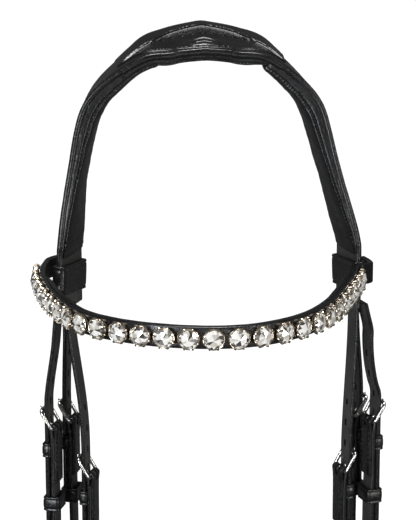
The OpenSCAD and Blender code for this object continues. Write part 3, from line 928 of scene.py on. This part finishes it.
def fold_slot(heel):
    """Cutter for the slot in a fold that the tongue works in."""
    cut = Piece("slot", [])
    outline = [(-1.9, -3.4), (-1.9, 4), (1.9, 4), (1.9, -3.4)]
    verts = [heel.at(n, u, v) for n in (-5, 5) for u, v in outline]
    cut.add(verts, [(0, 1, 2, 3), (7, 6, 5, 4), (0, 4, 5, 1), (1, 5, 6, 2), (2, 6, 7, 3), (3, 7, 4, 0)])
    return cut


def sewn(piece, heel, n, low, high):
    """Two rows of stitches on a strap's outer face, or on its inner face where n is negative."""
    for u in (-STITCH_U, STITCH_U):
        line = [heel.at(n, u, v) for v in np.linspace(low, high, 12)]
        piece.stitches(line, [heel.n * math.copysign(1, n)] * len(line), pitch=3.0, length=2.0,
                       radius=0.28)


def folded_end(piece, heel):
    """What holds a turned-back end: stitches on both faces and a parting line at each edge."""
    sewn(piece, heel, 2.2, -34, -6)
    sewn(piece, heel, -2.2, -28, -6)
    for u in (-STRAP_W / 2, STRAP_W / 2):
        seam = [heel.at(0, u * 0.985, v) for v in np.linspace(-34, -5, 8)]
        piece.tube(seam, 0.32, THREAD_SLOT, sides=6, late=True)


def keeper(name, heel, body, node):
    """Fixed keeper: only the billet's tail goes through it."""
    piece = Piece(name, HIDES)
    leather_ring(piece, heel.at(BILLET_N - 0.1, 0, 0), heel.ways, 2.15, RING_HALF_U, -18, -9,
                 corner=1.0)
    piece.build(body, [node])


def runner(name, heel, n, half_n, low, high, node):
    """Sliding runner round both layers."""
    piece = Piece(name, HIDES)
    leather_ring(piece, heel.at(n, 0, 0), heel.ways, half_n, RING_HALF_U, low, high)
    piece.build(node, [node])


def keeper_pieces(kind, side, word, body):
    heel = heel_of(kind, side)
    keeper(f"{kind}_keeper_leather_{word}", heel, body, f"{kind}_keeper_{word}")
    both_mid = (BILLET_N + BILLET_T / 2 - LOWER_HALF_T) / 2
    both_half = (BILLET_N + BILLET_T / 2 + LOWER_HALF_T) / 2 + 0.8
    runner(f"{kind}_runner_leather_{word}", heel, both_mid, both_half, -53, -44,
           f"{kind}_runner_{word}")


def buckle(heel, names, bodies):
    """Wire frame and tongue, leaning out over the strap."""
    lean_way = heel.n * math.sin(BUCKLE_TILT) + heel.v * math.cos(BUCKLE_TILT)
    above = np.cross(lean_way, heel.u)
    above = above * (1 if np.dot(above, heel.n) > 0 else -1)
    wire = []
    for a, b, _, _ in rounded_loop(SIDE_U, BUCKLE_L / 2, 2.4, 8):
        wire.append(heel.o + heel.u * a + lean_way * (b + BUCKLE_L / 2))
    body_wire = Piece(names[0], [STEEL])
    body_wire.tube(wire, BAR_R, closed=True, sides=16)
    body_wire.build(bodies[0], [bodies[0]], sharp=60)
    pin = Piece(names[1], [STEEL])
    lift = BAR_R + TONGUE_R + 0.1
    along_pin = spline([(0, lift - 0.25, 0.75), (1.2, lift + 0.05, 0.9), (3, lift + 0.1, 0.9),
                        (6, lift, 0.88), (10, lift, 0.86), (13, lift, 0.84), (14.6, lift, 0.8),
                        (15.6, lift - 0.1, 0.62), (16.1, lift - 0.2, 0.3)], 4)
    pin.tube([heel.o + lean_way * p[0] + above * p[1] for p in along_pin],
             [float(p[2]) for p in along_pin], sides=14)
    ring = [heel.o + (lean_way * math.cos(a) + above * math.sin(a)) * 1.75
            for a in np.linspace(0, 2 * math.pi, 28, endpoint=False)]
    frames = [(p, heel.u, unit(p - heel.o)) for p in ring]
    oval = [(0.9 * math.cos(a), 0.48 * math.sin(a))
            for a in np.linspace(0, 2 * math.pi, 12, endpoint=False)]
    pin.sweep(frames, [oval] * len(frames), closed=True)
    pin.build(bodies[1], [bodies[1]], sharp=60)


for kind in KINDS:
    for side, word in SIDES:
        body = {"cheek": "cheek_" + word, "throat": "throatlash", "nose": "noseband"}[kind]
        billet(kind, side, word, body)
        keeper_pieces(kind, side, word, body)
        buckle(heel_of(kind, side), (f"{kind}_buckle_wire_{word}", f"{kind}_buckle_pin_{word}"),
               (f"{kind}_frame_{word}", f"{kind}_tongue_{word}"))

# Cheekpieces, with the loop for the bit and its hook stud.
for side, word in SIDES:
    heel = heel_of("cheek", side)
    lower = [(0.95, -42, 2.5), (0.8, -60, 2.7), (0.75, -120, 2.7), (0.75, -180, 2.7),
             (0.8, -212, 2.6), (1.6, -222, 2.4), (3.4, -229, 2.4)]
    lower += turned(BIT_N, -CHEEK_L, BIT_R, 20, 2.4)
    lower += [(-5.8, -229, 2.4), (-3.6, -222, 2.4), (-2.3, -212, 2.3), (-2.1, -195, 2.3),
              (-2.1, -174, 2.1)]
    rows = fold_line(lower)
    piece = Piece("cheekpiece_leather_" + word, HIDES)
    piece.sweep(heel.frames(rows, -1), strap_sections(rows), back=FLESH_SLOT, bevel=0.3)
    folded_end(piece, heel)
    sewn(piece, heel, 2.12, -211, -177)
    sewn(piece, heel, -3.25, -211, -177)
    piece.build("cheek_" + word, ["cheekpiece_" + word], cut=fold_slot(heel))
    rings = Piece("bit_keepers_leather_" + word, HIDES)
    for low in (-CHEEK_L + 14, -CHEEK_L + 46):
        leather_ring(rings, heel.at(-0.6, 0, 0), heel.ways, 3.6, RING_HALF_U, low, low + 8,
                     corner=1.4)
    rings.build("cheek_" + word, ["bit_keepers_" + word])
    stud = Piece("hook_stud_steel_" + word, [STEEL])
    stud.lathe([(0.9, -0.3), (1.6, 0), (1.5, 0.5), (1.25, 1.2), (1.4, 1.8), (3.0, 2.1), (3.55, 2.5),
                (3.6, 2.9), (3.1, 3.4), (1.8, 3.65), (0.5, 3.7)],
               heel.at(-3.6, 0, -CHEEK_L + 32), -heel.n)
    stud.build("cheek_" + word, ["hook_stud_" + word], sharp=50)

# Throatlash: one strap from buckle to buckle.
right, left = heel_of("throat", RIGHT), heel_of("throat", LEFT)
rows = fold_line([(0.9, -44, 2.4), (0.7, -66, 2.4)])
frames = right.frames(rows, -1)
sections = strap_sections(rows)
THROAT_DROP, THROAT_SAG, THROAT_BACK = 81, 62, 12
half = THROAT[0] + 0.7
for a in range(0, 181, 4):
    s, c = math.sin(math.radians(a)), math.cos(math.radians(a))
    p = vec(THROAT[1] + half * c, THROAT[2] + THROAT_BACK * s ** 3,
            THROAT[3] - THROAT_DROP - THROAT_SAG * s)
    along = unit(vec(-half * s, 3 * THROAT_BACK * s * s * c, -THROAT_SAG * c))
    yaw = math.radians(STRAP_ANGLE * c)
    across = vec(-math.sin(yaw), math.cos(yaw), 0)
    across = unit(across - along * np.dot(across, along))
    frames.append((p, across, np.cross(along, across)))
    sections.append(rounded_section(STRAP_W, -1.2, 1.2, 0.75, crease=1.9, depth=0.24))
frames += left.frames(rows, -1)[::-1]
sections += strap_sections(rows)[::-1]
piece = Piece("throatlash_leather", HIDES)
piece.sweep(frames, sections, back=FLESH_SLOT, bevel=0.3)
for heel in (right, left):
    folded_end(piece, heel)
cut = fold_slot(right)
other = fold_slot(left)
cut.add(other.verts, other.faces)
piece.build("throatlash", ["throatlash_strap", "throat_end_left", "throat_end_right"], cut=cut)

# Noseband hangers.
for side, word in SIDES:
    heel = heel_of("nose", side)
    low = NOSE_Z - NOSE_H / 2 - NOSE[3] + 1.5
    rows = fold_line([(0.95, -42, 2.5), (0.8, -60, 2.7), (0.75, -100, 2.7),
                      (0.75, low + 10, 2.7), (0.75, low, 2.5)])
    piece = Piece("nose_hanger_leather_" + word, HIDES)
    piece.sweep(heel.frames(rows, -1), strap_sections(rows), back=FLESH_SLOT, bevel=0.3)
    folded_end(piece, heel)
    sewn(piece, heel, 2.1, low + 2, low + 24)
    piece.build("noseband", ["nose_hanger_" + word], cut=fold_slot(heel))

# ---- Noseband ----

def nose_frames(step):
    pts = []
    for k in range(-90, 91, step):
        s, c = math.sin(math.radians(k)), math.cos(math.radians(k))
        pts.append(vec(NOSE_MID[0] + NOSE_HALF * math.copysign(abs(s) ** 0.8, s),
                       NOSE_MID[1] - NOSE_REACH * abs(c) ** 0.8))
    return level_frames(pts, NOSE_Z)


ring = nose_frames(2)
piece = Piece("nosepiece_leather", HIDES)
section = rounded_section(NOSE_H, -1.5, 1.5, 1.2, crease=2.4, depth=0.35, dome=0.5, flat=6)
piece.sweep(ring, [section] * len(ring), back=FLESH_SLOT, bevel=0.5)
for edge in (-1, 1):
    piece.stitches([f[0] + f[1] * edge * (NOSE_H / 2 - 4.2) + f[2] * 1.62 for f in ring],
                   [f[2] for f in ring], pitch=3.1, length=2.1, radius=0.28)
piece.build("noseband", ["nosepiece"])
ring = nose_frames(1)
piece = Piece("nosepiece_padding", SOFT)
sections = [pad_section(NOSE_H + 3.6, -1.7, -6.6, 0.4, (0.1, 0.9), 0.5 + 0.3 * math.sin(2.9 * k),
                        48, 0.5) for k in range(len(ring))]
piece.sweep(ring, sections, bevel=0)
piece.build("noseband", ["nose_padding"],
            shape=wrinkled(0.25, 100, 9.0))

CHIN_Y, CHIN_TAIL = 26, 45
chin = Heel(vec(NOSE_MID[0] - NOSE_HALF, CHIN_Y, NOSE_Z), vec(-1, 0, 0), UP, vec(0, 1, 0))
rows = fold_line([(1.1, -36, 2.1), (1.1, -40.2, 2.1)])
piece = Piece("chin_tab_leather", HIDES)
piece.sweep(chin.frames(rows, -1), strap_sections(rows), back=FLESH_SLOT, bevel=0.3)
folded_end(piece, chin)
piece.build("noseband", ["chin_tab"], cut=fold_slot(chin))

span = 2 * NOSE_HALF
rows = [(BILLET_N, -CHIN_TAIL), (BILLET_N, -20), (BILLET_N, 1), (BILLET_N, 8), (BILLET_N, 22),
        (-1, 37), (-15, 49), (-40, 57), (-span / 2, 60), (40 - span, 57), (15 - span, 49),
        (1 - span, 37), (-span, 22), (-span, 0), (-span, -20),
        (-span, NOSE_MID[1] - CHIN_Y + 0.2)]
line, widths = pointed(spline(rows, 8), CHIN_TAIL)
piece = Piece("chin_strap_leather", HIDES)
sections = [rounded_section(w, -1.3, 1.3, 0.95, crease=1.9, depth=0.26) for w in widths]
piece.sweep(chin.frames(line), sections, back=FLESH_SLOT, bevel=0.25)
cut = Piece("holes", [])
for low, high in ((-1.2, 6), (-HOLE_PITCH - 3, -HOLE_PITCH - 1),
                  (-2 * HOLE_PITCH - 3, -2 * HOLE_PITCH - 1), (11, 13)):
    oval_cutter(cut, chin, BILLET_N, low, high)
piece.build("noseband", ["chin_strap"], cut=cut)
keeper("chin_keeper_leather", chin, "noseband", "chin_keeper")
runner("chin_runner_leather", chin, 1.75, 4.75, -34, -26, "chin_runner")
buckle(chin, ("chin_buckle_wire", "chin_buckle_pin"), ("chin_frame", "chin_tongue"))

# ---- Studio ----

scene = bpy.context.scene
paper = Shading("studio_floor")
tone = paper.mix(paper.noise(3, 2), (0.96, 0.96, 0.96, 1), (0.94, 0.94, 0.94, 1))
low_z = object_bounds()[0][2] - 0.012
mesh = bpy.data.meshes.new("floor")
corners = [(-40, -40), (40, -40), (40, 40), (-40, 40)]
mesh.from_pydata([(x, y, low_z) for x, y in corners], [], [(0, 1, 2, 3)])
mesh.materials.append(paper.finish({"Base Color": tone, "Roughness": 0.95,
                                    "Specular IOR Level": 0.0}))
floor = bpy.data.objects.new("floor", mesh)
scene.collection.objects.link(floor)
floor.visible_glossy = False

world = bpy.data.worlds.new("studio")
scene.world = world
world.use_nodes = True
world.node_tree.nodes["Background"].inputs["Color"].default_value = (1, 1, 1, 1)
world.node_tree.nodes["Background"].inputs["Strength"].default_value = 0.1
scene.view_settings.view_transform = "Standard"


def light(name, kind, at, to, power, size=1.0, colour=(1, 1, 1), tall=0.0):
    data = bpy.data.lights.new(name, kind)
    data.energy = power
    data.color = colour
    if kind == "AREA":
        data.shape = "RECTANGLE"
        data.size, data.size_y = size, tall
    else:
        data.angle = size
    obj = bpy.data.objects.new(name, data)
    scene.collection.objects.link(obj)
    obj.location = at
    obj.rotation_euler = (Vector(to) - Vector(at)).to_track_quat("-Z", "Y").to_euler()


light("top_sun", "SUN", (0, 0, 3), (0, 0, 0), 3.1, math.radians(24))
light("key_left", "AREA", (-1.15, -1.75, 0.1), (0, -0.05, -0.12), 40, 0.2, (0.93, 0.97, 1.0), 2.0)
light("fill_right", "AREA", (1.3, -1.5, 0.1), (0, -0.05, -0.15), 18, 0.2, (1.0, 0.97, 0.93), 1.8)
light("front_low", "AREA", (0.1, -2.1, -0.5), (0, -0.1, -0.15), 3, 0.8, (1, 1, 1), 0.3)

# ---- Camera ----

target = Vector((0, -0.05, -0.1185))
azimuth, height, distance = math.radians(-4), math.radians(15), 1.5
camera_data = bpy.data.cameras.new("camera")
camera_data.lens = 171.3
camera_data.sensor_width = 36
camera = bpy.data.objects.new("camera", camera_data)
scene.collection.objects.link(camera)
camera.location = target + distance * Vector((math.sin(azimuth) * math.cos(height),
                                              -math.cos(azimuth) * math.cos(height), math.sin(height)))
camera.rotation_euler = (target - camera.location).to_track_quat("-Z", "Y").to_euler()
scene.camera = camera
